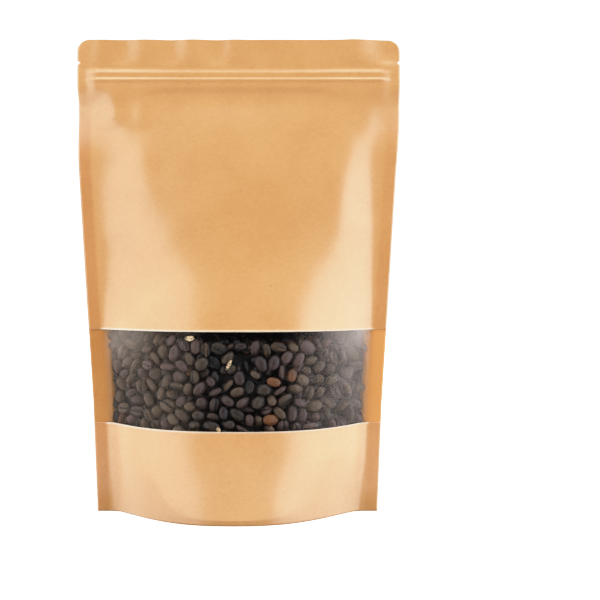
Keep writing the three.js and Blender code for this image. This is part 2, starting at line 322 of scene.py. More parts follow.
def zip_relief(x, z):
    """The band that the zip presses into the paper: a plateau over the whole zip, whose foot eases
    out further towards its ends, a low slope that goes on above it, and a ridge over each rail."""
    aside = np.abs(x)
    foot_ease = BAND_FOOT_EASE + 7 * rise(aside, 45, 25)
    top_ease = BAND_TOP_EASE - 1.1 * rise(np.abs(x + 5), 30, 40)
    from_foot = rise(z, ZIP_FOOT + 0.5 - foot_ease, foot_ease)
    plateau = BAND_HEIGHT * from_foot * fall(z, ZIP_TOP + 1.8, top_ease)
    slope_above = SLOPE_HEIGHT * from_foot * fall(z, ZIP_TOP + 13, 14)
    upper_rail = UPPER_RAIL * bell(z - ZIP_TOP + UPPER_RAIL_DROP, UPPER_RAIL_WIDTH)
    lower_rail = LOWER_RAIL + 0.12 * rise(aside, 40, 30)
    lower_rail = lower_rail * bell(z - ZIP_TOP + LOWER_RAIL_DROP, LOWER_RAIL_WIDTH)
    ends = smooth_step((seal_line(z) - aside) / 8 + 0.4)
    return (0.15 + 0.85 * ends) * (plateau + slope_above) + ends * (upper_rail + lower_rail)


def soft_relief(x, z, seed):
    """Unevenness of the filled paper, none at the seals: long swells and shorter, lower dimples."""
    inside = rise(seal_line(z) - np.abs(x), 0, 14)
    swells = SWELL_HEIGHT * waves(x, z, SWELL_LENGTH, seed)
    dimples = DIMPLE_HEIGHT * waves(x, z, DIMPLE_LENGTH, seed + 1)
    return inside * fall(z, FLAT_ABOVE, 40) * (swells + dimples)


def bend(x, z):
    """How far both panels together bend back: soft upright waves of the header, which grow from
    the zip to the top, and the edges under the zip, which turn back."""
    left_height = LEFT_WAVE + LEFT_WAVE_GAIN * rise(x, -65, 50)
    left_waves = -left_height * np.sin(LEFT_WAVE_RATE * (x + 36)) * fall(x, 14, 20) * rise(x, -97, 16)
    right_wave = RIGHT_WAVE * np.sin(RIGHT_WAVE_RATE * (x - 82)) * rise(x, 55, 20)
    fine_waves = FINE_WAVE * waves(x, z * 0.15, 34, seed=3, count=5)
    header = rise(z, ZIP_TOP + 1, 8) * (left_waves + right_wave + fine_waves)
    edges = BEND_LEFT * smooth_ramp(-x - 66, 8) + BEND_RIGHT * smooth_ramp(x - 74, 10)
    return header + rise(z, 217, 28) * fall(z, ZIP_FOOT + 2, 14) * edges


def shoulder_folds(x, z):
    """Soft ridges of the front: a broad one from under either end of the zip down to the beans,
    and two short ones right under the zip's left end."""
    total = 0
    for height, width, place, lean, foot, foot_over, top, top_over in RIDGES:
        ridge = height * bell(x - place - lean * (RIDGE_LEVEL - z), width)
        total = total + ridge * rise(z, foot, foot_over) * fall(z, top, top_over)
    return total


def front_depth(x, z):
    """How far the front stands out from the middle plane."""
    arch = swell(off_centre(x, z), z)
    return arch + shoulder_folds(x, z) + zip_relief(x, z) + soft_relief(x, z, seed=11)


def back_depth(x, z):
    """How far the back stands out from the middle plane."""
    return swell(x, z) + zip_relief(x, z) + soft_relief(x, z, seed=23)


def gusset_seal_height(x):
    """Where the gusset is sealed to the panels: low in the middle, up to the fold at the ends."""
    share = np.clip(np.abs(x) / seal_line(GUSSET_FOLD), 0, 1)
    return GUSSET_SEAL + (GUSSET_FOLD - GUSSET_SEAL) * share**SEAL_POWER


def gusset_fold_height(x):
    """Height of the centre fold: on the floor in the middle, up to its full height at the ends."""
    reach = seal_line(GUSSET_FOLD) - FOLD_FLAT_HALF
    share = np.clip((np.abs(x) - FOLD_FLAT_HALF) / reach, 0, 1)
    return GUSSET_FOLD * share**FOLD_POWER


def gusset_height(x, side):
    """Underside of the gusset, from the fold at side 0 to the panel at side 1: a belly flat on the
    floor in the middle of the bag, which becomes a tent over the fold towards both ends."""
    outward = rise(np.abs(x), 12, 50)
    flat = 0.5 * (1 - outward)
    power = 2 + (1.2 - 2) * outward
    height = np.clip((side - flat) / (1 - flat), 0, 1) ** power
    return gusset_fold_height(x) + (gusset_seal_height(x) - gusset_fold_height(x)) * height


def heap_top(x, y):
    """Top of the beans: lowest in the middle of the front, higher to both sides and to the back."""
    left = HEAP_LEFT * rise(-x, 15, 45)
    right = HEAP_RIGHT * rise(x, 35, 35)
    back = HEAP_BACK * rise(y, -15, 35)
    return HEAP_LEVEL + left + right + back


# ---- Meshes ----

def grid_faces(rows, columns):
    """Corner numbers of the quads of a grid of points."""
    corner = np.arange((rows - 1) * columns).reshape(rows - 1, columns)[:, :-1].ravel()
    return np.stack([corner, corner + 1, corner + 1 + columns, corner + columns], axis=1)


def rim_numbers(rows, columns):
    """Point numbers once round the rim of a grid."""
    numbers = np.arange(rows * columns).reshape(rows, columns)
    sides = [numbers[0, :-1], numbers[:-1, -1], numbers[-1, :0:-1], numbers[:0:-1, 0]]
    return np.concatenate(sides)


def normals_of(grid):
    """Unit normals of a grid of points, from the cross product of its two directions."""
    normal = np.cross(np.gradient(grid, axis=1), np.gradient(grid, axis=0))
    return normal / np.linalg.norm(normal, axis=2, keepdims=True)


def surface(x, y, z):
    """A grid of points from its coordinates, each of which may be a row or a column only."""
    return np.stack(np.broadcast_arrays(x, y, z), axis=2)


def new_piece(name, points, faces, materials):
    """A smooth mesh at the origin, from points in millimetres, which are swayed with the bag. It
    rides on the bag's one body."""
    points = points - sway(points[:, 2:]) * [1, 0, 0]
    mesh = bpy.data.meshes.new(name)
    mesh.from_pydata((points * MM).tolist(), [], faces.tolist())
    for material in materials:
        mesh.materials.append(material)
    mesh.polygons.foreach_set("use_smooth", np.ones(len(faces), bool))
    piece = bpy.data.objects.new(name, mesh)
    bpy.context.collection.objects.link(piece)
    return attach(piece, "root")


def store(piece, name, values):
    """Keeps one number, or three, for each point of a piece, for its material to read."""
    values = np.asarray(values, dtype=np.float32)
    kind, key = ("FLOAT_VECTOR", "vector") if values.shape[-1] == 3 else ("FLOAT", "value")
    attribute = piece.data.attributes.new(name, kind, "POINT")
    attribute.data.foreach_set(key, values.ravel())


def closed_piece(name, outer, inner, materials):
    """A closed body between two grids of points. The materials are those of the outer face, of
    the inner face and of the wall round both, whose edges stay sharp."""
    rows, columns = outer.shape[:2]
    size = rows * columns
    points = np.concatenate([outer.reshape(-1, 3), inner.reshape(-1, 3)])
    face, rim = grid_faces(rows, columns), rim_numbers(rows, columns)
    after = np.roll(rim, -1)
    wall = np.stack([rim, size + rim, size + after, after], axis=1)
    faces = np.concatenate([face, face[:, ::-1] + size, wall])
    a, b, c = (points[faces[:, k]] for k in range(3))
    if np.sum(a * np.cross(b, c)) < 0:
        faces = faces[:, ::-1]
    piece = new_piece(name, points, faces, materials)
    kinds = np.repeat([0, 1, 2], [len(face), len(face), len(wall)])
    piece.data.polygons.foreach_set("material_index", np.minimum(kinds, len(materials) - 1))
    piece.data.polygons.foreach_set("use_smooth", kinds < 2)
    return piece


def sheet_of(name, outer, thickness, materials):
    """A closed sheet of one thickness behind a grid that is its outer face."""
    return closed_piece(name, outer, outer - thickness * normals_of(outer), materials)


# ---- Nodes of materials ----

# Numbers of the colour mix node's sockets
FACTOR, COLOUR_A, COLOUR_B, COLOUR_OUT = 0, 6, 7, 2


def linear(colour):
    """An sRGB hex colour as linear red, green, blue and alpha."""
    parts = [int(colour[i:i + 2], 16) / 255 for i in (1, 3, 5)]
    return [p / 12.92 if p <= 0.04045 else ((p + 0.055) / 1.055) ** 2.4 for p in parts] + [1]


def add(tree, kind, inputs=None, **settings):
    """Adds a node of a kind with its settings. An input is a value or another node's output."""
    node = tree.nodes.new(kind)
    for key, value in settings.items():
        setattr(node, key, value)
    for key, value in (inputs or {}).items():
        if isinstance(value, bpy.types.NodeSocket):
            tree.links.new(value, node.inputs[key])
        else:
            node.inputs[key].default_value = value
    return node


def new_material(name, **shader_inputs):
    """A material with one Principled shader; underscores stand for spaces in its sockets' names."""
    material = bpy.data.materials.new(name)
    material.use_nodes = True
    tree = material.node_tree
    tree.nodes.clear()
    shader = add(tree, "ShaderNodeBsdfPrincipled")
    add(tree, "ShaderNodeOutputMaterial", {"Surface": shader.outputs["BSDF"]})
    for key, value in shader_inputs.items():
        shader.inputs[key.replace("_", " ")].default_value = value
    return material, tree, shader


def connect(tree, shader, **outputs):
    """Links outputs to a shader; underscores stand for spaces in its sockets' names."""
    for key, output in outputs.items():
        tree.links.new(output, shader.inputs[key.replace("_", " ")])


def object_place(tree):
    """The place of a point on the bag, in metres."""
    return add(tree, "ShaderNodeTexCoord").outputs["Object"]


def stretched(tree, place, scale):
    """A place with each of its coordinates scaled, which stretches or squeezes a pattern."""
    return add(tree, "ShaderNodeMapping", {"Vector": place, "Scale": scale}).outputs[0]


def parts_of(tree, vector):
    """The three parts of a vector, by the names X, Y and Z."""
    return add(tree, "ShaderNodeSeparateXYZ", {0: vector}).outputs


def stored(tree, name, output="Fac"):
    """What store() has kept under a name."""
    return add(tree, "ShaderNodeAttribute", attribute_name=name).outputs[output]


def noise(tree, place, size, detail=2):
    """Noise from 0 to 1 whose features are about a size in millimetres."""
    inputs = {"Vector": place, "Scale": 1 / (size * MM), "Detail": detail}
    return add(tree, "ShaderNodeTexNoise", inputs).outputs[0]


def scattered(tree, place, size):
    """Distance to the nearest of many scattered points, as a share of a size in millimetres."""
    inputs = {"Vector": place, "Scale": 1 / (size * MM)}
    return add(tree, "ShaderNodeTexVoronoi", inputs).outputs["Distance"]


def calculated(tree, operation, *values):
    """What an operation makes of values and other nodes' outputs."""
    return add(tree, "ShaderNodeMath", dict(enumerate(values)), operation=operation).outputs[0]


def scaled(tree, value, low, high, to_low=0, to_high=1):
    """Maps one range onto another, and keeps within its ends."""
    inputs = {"Value": value, "From Min": low, "From Max": high, "To Min": to_low, "To Max": to_high}
    return add(tree, "ShaderNodeMapRange", inputs).outputs[0]


def mixed(tree, factor, first, second, blend="MIX"):
    """A mix of two colours, each of which is an output, linear parts or an sRGB hex."""
    inputs = {FACTOR: factor}
    for socket, colour in ((COLOUR_A, first), (COLOUR_B, second)):
        inputs[socket] = linear(colour) if isinstance(colour, str) else colour
    return add(tree, "ShaderNodeMix", inputs, data_type="RGBA", blend_type=blend).outputs[COLOUR_OUT]


def bumped(tree, height, strength, distance):
    """The normal that a height bends, for a relief of a distance in millimetres."""
    inputs = {"Height": height, "Strength": strength, "Distance": distance * MM}
    return add(tree, "ShaderNodeBump", inputs).outputs[0]


# ---- Materials ----

def kraft_colour(tree, place, dark, light):
    """Colour of natural kraft: short fibres that lie along the web, a cloudy formation, and a few
    dark specks of bark, all drawn a little coarser than real ones, so that they can be seen. Gives
    the colour and the height of the fibres."""
    along = stretched(tree, place, (1, 1, 2))
    fibres = noise(tree, along, 2.5, detail=4)
    clouds = noise(tree, place, 25, detail=3)
    both = calculated(tree, "MULTIPLY_ADD", clouds, 0.5, calculated(tree, "MULTIPLY", fibres, 0.5))
    paper = mixed(tree, scaled(tree, both, 0.35, 0.65), dark, light)
    specks = scaled(tree, scattered(tree, place, 11), 0.015, 0.05, 0.65, 0)
    return mixed(tree, specks, paper, "#8a5a2c"), fibres


def kraft_paper():
    """Kraft paper under a satin clear coat. It looks soft and warm head on, and the coat gives
    broad pale reflections of the lamps where the paper turns to the sides. The side seals, where
    heat and pressure drove the plastic into the fibres, are darker and more orange below the zip,
    the left one more than the right, which is partly painted shade. Along a cut edge the pale
    fibres show, partly as a painted highlight where the edge catches the lamps."""
    material, tree, shader = new_material("kraft_paper_satin_coated", Roughness=0.4, Coat_Weight=1,
                                          Coat_Roughness=0.23, Coat_IOR=1.9)
    colour, height = kraft_colour(tree, object_place(tree), "#e6a65e", "#f1b26c")
    # Darker, more orange seals: partly heat-sealed paper, partly painted shade
    fused = mixed(tree, stored(tree, "sealed"), colour, "#f2e5d5", blend="MULTIPLY")
    # Pale cut edges: partly bare fibres, partly a painted highlight
    edged = mixed(tree, stored(tree, "bare"), fused, "#f6e2c4")
    connect(tree, shader, Base_Color=edged, Normal=bumped(tree, height, 0.05, 0.1))
    return material


def kraft_lining():
    """The inside of the laminate: clear polyethylene on the paper, which wets it darker and more
    orange, and is glossier than the outside. It is painted paler towards the right seal, as painted
    light from the right."""
    material, tree, shader = new_material("kraft_under_polyethylene", Roughness=0.35)
    place = object_place(tree)
    colour, height = kraft_colour(tree, place, "#d08a45", "#dd9a52")
    # Painted light: the lining is painted paler towards the right seal
    painted_light_at_right = scaled(tree, parts_of(tree, place)["X"], 60 * MM, 85 * MM)
    paler = mixed(tree, painted_light_at_right, colour, "#f6ab5e")
    connect(tree, shader, Base_Color=paler, Normal=bumped(tree, height, 0.03, 0.1))
    return material


def cut_paper():
    """The cut edge of the laminate: bare pale fibres."""
    material, tree, shader = new_material("cut_edge_of_paper", Roughness=0.9)
    fibres = noise(tree, object_place(tree), 0.6, detail=3)
    connect(tree, shader, Base_Color=mixed(tree, fibres, "#e8c89c", "#f8ead2"))
    return material


def clear_film():
    """Clear polypropylene film: it lets nearly all light through and mirrors the lamps softly.
    Towards both ends the share of light it stops grows, as a painted veil: a painted reflection of
    the lamps."""
    material, tree, shader = new_material("clear_polypropylene_film", Metallic=1, Roughness=0.22)
    shader.inputs["Base Color"].default_value = linear("#eadaca")
    place = object_place(tree)
    # Painted reflection: the stored veil raises the share of lamp light the film mirrors, towards both
    # ends
    uneven = calculated(tree, "MULTIPLY", stored(tree, "painted_veil"), noise(tree, place, 14))
    ripple = bumped(tree, noise(tree, place, 9), 0.3, 0.4)
    connect(tree, shader, Alpha=scaled(tree, uneven, 0, 1, 0.012, 0.27), Normal=ripple)
    return material


def roasted_bean(name, dark, light, groove_colour):
    """Skin of a medium to dark roasted bean: brown, finely wrinkled, with a thin film of oil. Its brown
    follows a stored tone that also holds painted shade and painted light. The groove is drawn from
    the bean's own coordinates, along a shallow wave on its flatter side: dark, as painted shade in
    the crease, or with pale silverskin left in it."""
    material, tree, shader = new_material(name, Roughness=0.42, Specular_IOR_Level=0.32, Coat_Weight=0.05,
                                          Coat_Roughness=0.3)
    skin = noise(tree, object_place(tree), 1.8, detail=4)
    # The stored tone holds each bean's own tone with painted shade and painted light from beans()
    brown = mixed(tree, calculated(tree, "MULTIPLY_ADD", skin, 0.4, stored(tree, "roast_and_shade")), dark, light)
    own = parts_of(tree, stored(tree, "bean_place", "Vector"))
    wave = calculated(tree, "SINE", calculated(tree, "MULTIPLY", own["X"], 2.6))
    away = calculated(tree, "ABSOLUTE", calculated(tree, "MULTIPLY_ADD", wave, 0.1, own["Y"]))
    on_flat_side = scaled(tree, own["Z"], 0, 0.2)
    # Dark groove colour: painted shade in the crease; the silverskin groove keeps its own pale colour
    groove = calculated(tree, "MULTIPLY", scaled(tree, away, 0.07, 0.2, 1, 0), on_flat_side)
    relief = calculated(tree, "MULTIPLY_ADD", groove, -3.5, skin)
    connect(tree, shader, Base_Color=mixed(tree, groove, brown, groove_colour),
            Normal=bumped(tree, relief, 0.5, 0.25))
    return material


def silverskin():
    """Chaff of the bean's inner skin: papery, crumpled, pale gold, with a silky shine."""
    material, tree, shader = new_material("silverskin_chaff", Roughness=0.45, Sheen_Weight=0.4)
    veins = noise(tree, object_place(tree), 0.9, detail=3)
    gold = mixed(tree, scaled(tree, veins, 0.36, 0.6), "#5a3418", "#ffe2ac")
    connect(tree, shader, Base_Color=gold, Normal=bumped(tree, veins, 0.6, 0.3))
    return material


def beans_in_shadow():
    """The beans further in, which get no light: near black, mottled brown."""
    material, tree, shader = new_material("beans_in_shadow", Roughness=0.8)
    mottles = scattered(tree, object_place(tree), 8)
    connect(tree, shader, Base_Color=mixed(tree, mottles, "#1c120c", "#070403"))
    return material


def zip_plastic():
    """Low density polyethylene of the zip: milky, waxy, faintly streaked along its length."""
    material, tree, shader = new_material("zip_polyethylene", Roughness=0.4, IOR=1.51)
    along = stretched(tree, object_place(tree), (0.05, 1, 1))
    connect(tree, shader, Base_Color=mixed(tree, noise(tree, along, 1.5), "#e4e0d6", "#f2efe8"))
    return material


# ---- Paper, film and gusset ----

def across(count, seal_columns=7):
    """Places across a panel as shares of its half width: closer together on the side seals."""
    seal = SIDE_SEAL / (BAG_WIDTH / 2)
    edge = np.linspace(1 - seal, 1, seal_columns)
    return np.concatenate([-edge[:0:-1], np.linspace(seal - 1, 1 - seal, count), edge[1:]])


def upper_heights(foot):
    """Rows of a panel from a height up: even over the swollen part, and close over its cut foot,
    the zip, the notch and the rounded corners."""
    corner_foot = BAG_HEIGHT - CORNER_RADIUS
    corner = corner_foot + CORNER_RADIUS * np.sin(np.linspace(0, np.pi / 2, 14))
    notch = NOTCH_HEIGHT + NOTCH_RISE * np.linspace(-1, 1, 7)
    swollen = np.linspace(foot + CURL, SWOLLEN_TOP, int((SWOLLEN_TOP - foot) / COARSE_ROW))
    fine = np.arange(SWOLLEN_TOP + FINE_ROW, FINE_TOP, FINE_ROW)
    cut = np.linspace(foot, foot + CURL, 5)
    return np.unique(np.concatenate([cut, swollen, fine, notch, corner]))


def to_window(z):
    """Distance to the nearer cut edge of the window."""
    return np.minimum(np.abs(z - WINDOW_TOP), np.abs(z - WINDOW_FOOT))


def front_paper(x, z):
    """Depth of the front paper. Its cut edges at the window curl off the film: a parabola up to
    the edge, none at the side seals."""
    free = rise(seal_line(z) - np.abs(x), 0, 3)
    return front_depth(x, z) + CURL_LIFT * free * np.clip(1 - to_window(z) / CURL, 0, 1) ** 2


def panel_grid(heights, facing, depth, face):
    """Outer face of a panel: each row runs from cut edge to cut edge at its height, and each point
    stands out by the panel's depth there."""
    z = heights[:, None]
    x = across(150)[None, :] * cut_half_width(z)
    return surface(x, facing * (depth(x, z) + face) + bend(x, z), z)


def paper_panel(name, heights, facing, depth, face, materials):
    """One panel as a closed sheet, with its sealed sides and bare cut edges marked for the paper.
    The right seal is painted less dark than the left one, as painted shade, and the pale cut edges,
    partly a painted highlight, are painted wider to the left."""
    grid = panel_grid(heights, facing, depth, face)
    if facing == BACK:
        grid = grid[:, ::-1]
    piece = sheet_of(name, grid, PAPER, materials)
    x, z = grid[..., 0], grid[..., 2]
    past_seal_line = np.abs(x) - seal_line(z)
    # Seal darkening below the zip, halved on the right: partly heat-sealed paper, partly painted shade
    sealed = smooth_step(past_seal_line / 2 + 0.5) * fall(z, ZIP_FOOT - 8, 25) * np.where(x > 0, 0.5, 1)
    # Pale strip along the window's cut edges, wider to the left: partly bare fibres, partly a painted
    # highlight
    pale_edge_and_highlight_width = 0.5 + 0.5 * rise(-x, 10, 40)
    bare = fall(past_seal_line, 1, 2) * (facing == FRONT) * smooth_step(1.4 - to_window(z) / pale_edge_and_highlight_width)
    store(piece, "sealed", np.tile(sealed.ravel(), 2))
    store(piece, "bare", np.tile(bare.ravel(), 2))
    return piece


def clear_strip(film):
    """The film behind both cut edges of the paper, one surface with the paper's shape. Its painted
    veil, a painted reflection of the lamps, grows towards the ends of the window and upwards."""
    heights = np.linspace(WINDOW_FOOT - FILM_OVERLAP, WINDOW_TOP + FILM_OVERLAP, 50)
    grid = panel_grid(heights, FRONT, front_depth, FILM_FACE)
    piece = sheet_of("clear_strip", grid, FILM, [film])
    x, z = grid[..., 0], grid[..., 2]
    # Painted veil of the lamps' reflection: stronger towards both ends of the window and upwards
    inside, upwards = rise(seal_line(z) - np.abs(x), 0, 8), rise(z, 85, 25)
    right = rise(x, 44, 32) * (PAINTED_VEIL_RIGHT + PAINTED_VEIL_RIGHT_ABOVE * upwards)
    left = rise(-x, 42, 28) * (PAINTED_VEIL_LEFT + PAINTED_VEIL_LEFT_ABOVE * upwards)
    store(piece, "painted_veil", np.tile((inside * (right + left)).ravel(), 2))
    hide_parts("window_film")


def folded_gusset(materials):
    """The folded bottom as one sheet: from the front rim up inside the panel to the curved seal,
    under the bag over the belly, and down inside the back panel to its rim."""
    end = seal_line(GUSSET_FOLD) - GUSSET_END
    x = np.linspace(-end, end, 161)[None, :]
    belly = np.linspace(-1, 1, 97)[:, None]

    def inside_panel(x, z):
        """Depth just inside a panel, and never quite none."""
        return np.maximum(swell(x, z) - INSIDE_PANEL, LEAST_DEPTH)

    under = surface(x, belly * inside_panel(x, gusset_seal_height(x)), gusset_height(x, np.abs(belly)))
    shares = np.linspace(0, SKIRT_SHARE, 14)[:, None]
    skirts = []
    for facing, share in ((FRONT, shares), (BACK, shares[::-1])):
        z = SKIRT_FOOT + (gusset_seal_height(x) - SKIRT_FOOT) * share
        narrowed = x * (1 - SKIRT_NARROWING * (1 - share))
        skirts.append(surface(narrowed, facing * inside_panel(narrowed, z), z))
    whole = np.concatenate([skirts[0], under, skirts[1]])[::-1]
    piece = sheet_of("kraft_gusset", whole, -GUSSET_PAPER, materials)
    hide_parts("bottom_gusset")


# ---- Beans ----

def bean_shape():
    """One bean of unit half length, half width and half thickness: rings across its length. Its
    underside is a dome, its top flatter, with a groove along the middle. Gives points and quads."""
    turns = np.radians([0, 16, 50, 88, 130, 180, 230, 272, 310, 344])
    stations = np.cos(np.linspace(0.08, 0.92, 7) * np.pi)
    ring = np.sqrt(1 - np.abs(stations) ** 2.4)[:, None]
    up = np.cos(turns)
    height = np.where(up > 0, 0.72 * np.abs(up) ** 0.8, up) - np.where(turns == 0, 0.3, 0)
    grid = surface(stations[:, None], ring * np.sin(turns), ring**0.9 * height)
    rings, columns = grid.shape[:2]
    corner = np.arange(rings * columns).reshape(rings, columns)
    after = np.roll(corner, -1, axis=1)
    sides = np.stack([corner[:-1], corner[1:], after[1:], after[:-1]], axis=2).reshape(-1, 4)
    cap = np.array([[9, 0, 1, 2], [8, 9, 2, 3], [7, 8, 3, 4], [6, 7, 4, 5]])
    faces = np.concatenate([sides, cap, cap[:, ::-1] + corner[-1, 0]])
    return grid.reshape(-1, 3), faces


def bean_sizes(count, rng):
    """Half length, width and thickness of beans, as uneven as a real lot."""
    length = BEAN_LENGTH / 2 * rng.normal(1, 0.11, count)
    width = length * BEAN_SLIMNESS * rng.normal(1, 0.07, count)
    return np.stack([length, width, width * BEAN_FLATNESS * rng.normal(1, 0.06, count)], axis=1)


def settle(size, reach, low, high, rng, rounds=90):
    """Packs beans, seen as ovals, between two curves low(x) and high(x): each is three discs in a
    row, and discs that overlap push their ovals apart and turn them. Gives places and turns."""
    count = len(size)
    x = rng.uniform(-reach, reach, count)
    place = np.stack([x, low(x) + (high(x) - low(x)) * rng.random(count)], axis=1)
    turn = rng.uniform(0, np.pi, count)
    stations = np.array([-1, 0, 1])
    radius = size[:, 1] * DISC_RADIUS
    own = np.arange(count).repeat(3)
    for _ in range(rounds):
        arm = (size[:, 0] - radius)[:, None] * stations
        lever = np.stack([arm * np.cos(turn)[:, None], arm * np.sin(turn)[:, None]], axis=2).reshape(-1, 2)
        disc = place[own] + lever
        apart = disc[:, None] - disc[None]
        distance = np.linalg.norm(apart, axis=2) + 1e-9
        overlap = np.maximum(0, radius[own][:, None] + radius[own][None] - distance)
        overlap[own[:, None] == own[None]] = 0
        push = (apart / distance[..., None] * overlap[..., None]).sum(axis=1) * PUSH
        twist = (lever[:, 0] * push[:, 1] - lever[:, 1] * push[:, 0]) / TURN_ARM
        np.add.at(place, own, push)
        np.add.at(turn, own, twist)
        place[:, 0] = np.clip(place[:, 0], radius - reach, reach - radius)
        place[:, 1] = np.clip(place[:, 1], low(place[:, 0]) + radius, high(place[:, 0]) - radius)
    return place[:, 0], place[:, 1], turn


def about(first, second, angle):
    """Rotation matrices in the plane of two axes."""
    matrix = np.tile(np.eye(3), (len(angle), 1, 1))
    matrix[:, first, first] = matrix[:, second, second] = np.cos(angle)
    matrix[:, first, second] = -np.sin(angle)
    matrix[:, second, first] = np.sin(angle)
    return matrix


def layer_at_film(count, depth, rng):
    """Beans in one layer behind the film, at a depth from it and a little more each. Near the side
    seals they lie flat. Their centres are on the film, and keep_inside moves them off it."""
    size = bean_sizes(count, rng)
    foot, extra = WINDOW_FOOT - 8, 1 + depth / 3
    x, z, turn = settle(size, seal_line(HEAP_MIDDLE) - 2, lambda x: foot + 0 * x,
                        lambda x: heap_top(x, -30) + extra, rng)
    room = rise(swell(x, z), 2.5, 6)
    back_out = rng.random(count) < BACK_OUT
    roll = np.where(back_out, np.pi, 0) + rng.normal(0, ROLL, count) * room
    pitch = rng.normal(0, PITCH, count) * room
    groove_forward = np.array([[1, 0, 0], [0, 0, -1], [0, 1, 0]], float)
    rotation = about(0, 2, turn) @ groove_forward @ about(2, 0, pitch) @ about(1, 2, roll)
    gap = BEAN_GAP + depth + rng.uniform(0, LOOSENESS, count) * room
    return np.stack([x, -front_depth(x, z), z], axis=1), rotation, size, gap


def layer_on_top(count, rng):
    """Beans that lie on top of the heap, from front to back."""
    size = bean_sizes(count, rng)
    x, y, turn = settle(size, TOP_REACH, lambda x: 5 - swell(x, HEAP_LEVEL),
                        lambda x: swell(x, HEAP_LEVEL + HEAP_BACK) - 2, rng)
    roll = np.where(rng.random(count) < 0.5, np.pi, 0) + rng.normal(0, TOP_ROLL, count)
    rotation = about(0, 1, turn) @ about(2, 0, rng.normal(0, PITCH, count)) @ about(1, 2, roll)
    z = heap_top(x, y) - 2 + rng.uniform(-1, 1, count)
    return np.stack([x, y, z], axis=1), rotation, size, np.full(count, BEAN_GAP)


def keep_inside(centres, rotations, sizes, gaps, shape, rounds=8):
    """Moves each bean back until it is its gap behind the film, or forward off the back panel, and
    shrinks it where the two leave no room. Gives which beans find a place at a likely size."""
    full = sizes.copy()
    for _ in range(rounds):
        points = np.einsum("nij,nvj->nvi", rotations, shape * sizes[:, None]) + centres[:, None]
        x, y, z = np.moveaxis(points, 2, 0)
        into_front = (gaps[:, None] - front_depth(x, z) - y).max(axis=1)
        into_back = (y + BEAN_GAP - back_depth(x, z)).max(axis=1)
        too_thick = np.maximum(0, into_front + into_back)
        move = np.maximum(0, into_front) - np.maximum(0, into_back)
        centres[:, 1] += np.where(too_thick > 0, (into_front - into_back) / 2, move)
        thickness = 2 * np.linalg.norm(rotations[:, 1] * sizes, axis=1)
        sizes *= 1 - np.clip(too_thick / thickness, 0, 0.25)[:, None]
    return (sizes[:, 0] > LEAST_SIZE * full[:, 0]) & (np.maximum(into_front, into_back) < MOST_OUTSIDE)


def beans(seed, materials, shares):
    """All beans that can be seen: three layers behind the film and one on top of the heap. The
    inner ones, those in the middle, and the side of each that is turned away from the film are
    painted darker, as painted shade. Each material takes its share of them."""
    rng = np.random.default_rng(seed)
    layers = [layer_at_film(count, depth, rng) for count, depth, _ in LAYERS]
    layers.append(layer_on_top(TOP_COUNT, rng))
    lights = [light for _, _, light in LAYERS] + [TOP_LIGHT]
    shade = np.repeat(lights, [len(layer[0]) for layer in layers])
    centres, rotations, sizes, gaps = (np.concatenate(parts) for parts in zip(*layers))
    kind = rng.choice(len(materials), len(centres), p=shares)
    shape, faces = bean_shape()
    kind[~keep_inside(centres, rotations, sizes, gaps, shape)] = -1
    for number, material in enumerate(materials):
        chosen = kind == number
        amount = int(chosen.sum())
        centre, size = centres[chosen][:, None], sizes[chosen][:, None]
        points = np.einsum("nij,nvj->nvi", rotations[chosen], shape * size) + centre
        numbers = (faces + len(shape) * np.arange(amount)[:, None, None]).reshape(-1, 4)
        piece = new_piece("coffee_beans_%d" % number, points.reshape(-1, 3), numbers, [material])
        store(piece, "bean_place", np.tile(shape, (amount, 1)))
        # Tone: painted shade in deeper layers and on each bean's side away from the film, painted light
        # towards the window's ends, plus each bean's own random tone
        nearness = -(points - centre)[..., 1] / size[..., 1]
        to_end = rise(np.abs(centres[chosen][:, 0]), 8, 32)
        roast_and_shade = shade[chosen] + END_LIGHT * to_end + rng.uniform(-0.2, 0.3, amount)
        store(piece, "roast_and_shade", roast_and_shade[:, None] + NEAR_LIGHT * (nearness - 0.75))
        if number == 0:
            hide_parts("coffee_beans")


def bean_core(material):
    """The rest of the heap as one dark body with an uneven skin, a bean and a half behind the film
    and a little off the back panel."""
    share = np.linspace(0, 1, 40)[:, None]
    side = np.linspace(-1, 1, 80)[None, :]
    x = side * (seal_line(HEAP_MIDDLE) - CORE_SIDE + 1.2 * waves(0, share * 75, 9, seed=8))
    foot = np.maximum(gusset_seal_height(x), gusset_fold_height(x)) + CORE_FOOT
    faces = []
    for facing, inset in ((FRONT, CORE_FRONT), (BACK, CORE_BACK)):
        z = foot + (heap_top(x, 12 * facing) - CORE_TOP - foot) * share
        depth = np.maximum(swell(x, z) - inset - 0.8 * waves(x, z, 9, seed=5), 0.5)
        faces.append(surface(x, facing * depth, z))
    piece = closed_piece("bean_core", *faces, [material])


def chaff(name, x, z, length, width, turn, seed, material):
    """A flake of silverskin between film and beans: a square sheet drawn to an oval, crumpled by
    waves and turned in the plane of the film."""
    u, v = np.meshgrid(np.linspace(-1, 1, 13), np.linspace(-1, 1, 9))
    ragged = 1 + 0.18 * waves(u, v, 1.1, seed)
    along = length / 2 * u * np.sqrt(1 - v**2 / 2) * ragged
    aside = width / 2 * v * np.sqrt(1 - u**2 / 2)
    flake_x = x + along * np.cos(turn) - aside * np.sin(turn)
    flake_z = z + along * np.sin(turn) + aside * np.cos(turn)
    depth = front_depth(flake_x, flake_z) - FLAKE_GAP + FLAKE_CRUMPLE * waves(u, v, 0.9, seed + 1)
    piece = sheet_of(name, surface(flake_x, -depth, flake_z), FLAKE_THICKNESS, [material])


# ---- Studio ----

